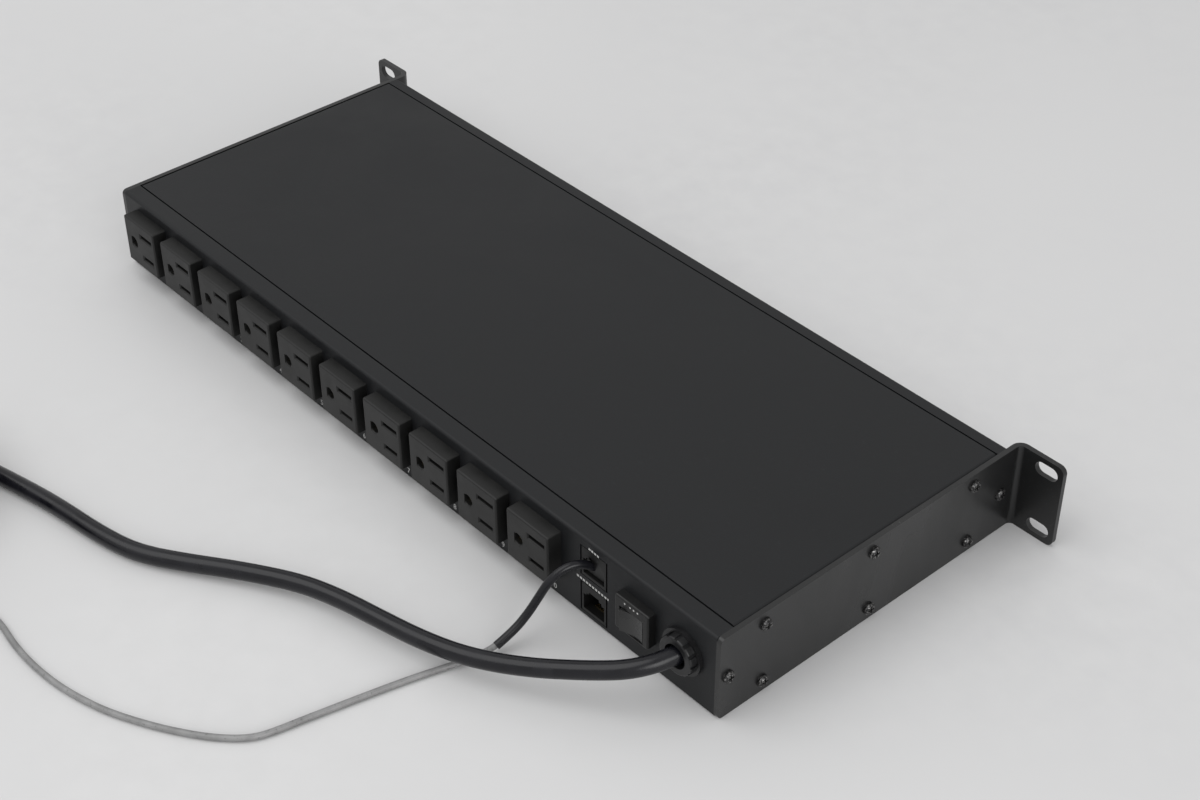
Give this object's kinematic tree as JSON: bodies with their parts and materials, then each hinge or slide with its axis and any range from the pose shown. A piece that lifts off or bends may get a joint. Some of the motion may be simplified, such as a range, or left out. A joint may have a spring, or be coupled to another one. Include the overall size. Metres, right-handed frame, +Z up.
{
  "type": "rack power strip",
  "caption": "One-unit rack power strip: black steel case with rack ears, a row of grounded outlets, two control jacks, a rocker switch, a power cord and a control cable.",
  "frame": {"origin": "on the underside, at the middle of the case's width and of its depth without the ears", "axes": "+X along the width, -Y out of the outlet side, +Y out of the side with the rack ears, +Z up"},
  "size_m": [0.4826, 0.4625, 0.0437],
  "materials": {
    "case_paint": "black powder coat, satin",
    "black_screws": "black oxide",
    "outlet_plastic": "black, satin",
    "jack_plastic": "black",
    "switch_plastic": "black",
    "contact_brass": "bright",
    "gold_contacts": "gold plated",
    "circuit_board": "green solder mask",
    "zinc_steel": "zinc plated",
    "gland_rubber": "black, moulded",
    "cord_rubber": "black jacket, semi-gloss",
    "plug_metal": "nickel plated",
    "sleeve_rubber": "black",
    "cable_grey": "grey jacket",
    "relay_plastic": "black",
    "transformer_steel": "varnished laminations",
    "suppressor_blue": "blue epoxy",
    "terminal_green": "green",
    "wire_black": "black insulation",
    "wire_white": "white insulation",
    "wire_grey": "grey jacket"
  },
  "bodies": {
    "case": {"board_screws": "zinc_steel", "board_studs": "zinc_steel", "bottom_cover": "case_paint", "control_board": "circuit_board", "control_cable": "cable_grey", "control_cable_coil": "cable_grey", "control_cable_end_plug": "switch_plastic", "control_cable_tail": "cable_grey", "control_plug": "switch_plastic", "control_sleeve": "sleeve_rubber", "cord_gland": "gland_rubber", "cord_gland_nut": "zinc_steel", "feed_wires": "wire_white", "front_panel": "case_paint", "ground_bus_bar": "contact_brass", "ground_contacts": "contact_brass", "ground_nut": "zinc_steel", "ground_stud": "zinc_steel", "inlet_wires": "wire_black", "jack_board": "circuit_board", "jack_board_screws": "zinc_steel", "jack_board_studs": "zinc_steel", "jack_contacts": "gold_contacts", "jack_lead": "wire_grey", "left_end_plate": "case_paint", "left_end_screws": "black_screws", "line_bus_bar": "contact_brass", "line_contacts": "contact_brass", "lower_jack": "jack_plastic", "neutral_bus_bar": "contact_brass", "neutral_contacts": "contact_brass", "outlet_01": "outlet_plastic", "outlet_02": "outlet_plastic", "outlet_03": "outlet_plastic", "outlet_04": "outlet_plastic", "outlet_05": "outlet_plastic", "outlet_06": "outlet_plastic", "outlet_07": "outlet_plastic", "outlet_08": "outlet_plastic", "outlet_09": "outlet_plastic", "outlet_10": "outlet_plastic", "outlet_panel": "case_paint", "power_cord": "cord_rubber", "power_cord_coil": "cord_rubber", "power_cord_tail": "cord_rubber", "power_plug": "cord_rubber", "power_plug_blades": "plug_metal", "power_plug_ground_pin": "plug_metal", "power_relays": "relay_plastic", "right_end_plate": "case_paint", "right_end_screws": "black_screws", "supply_transformer": "transformer_steel", "surge_suppressors": "suppressor_blue", "switch_housing": "switch_plastic", "switch_pivot_pin": "zinc_steel", "switch_terminals": "contact_brass", "terminal_block": "terminal_green", "top_cover": "case_paint", "upper_jack": "jack_plastic"},
    "rocker": {"switch_rocker": "switch_plastic"}
  },
  "joints": [
    {"name": "rocker_tilt", "type": "hinge", "parent": "case", "child": "rocker", "pos_m": [0.171, -0.0887, 0.0213], "axis": [0, 0, -1], "range_deg": [0, 18]}
  ]
}
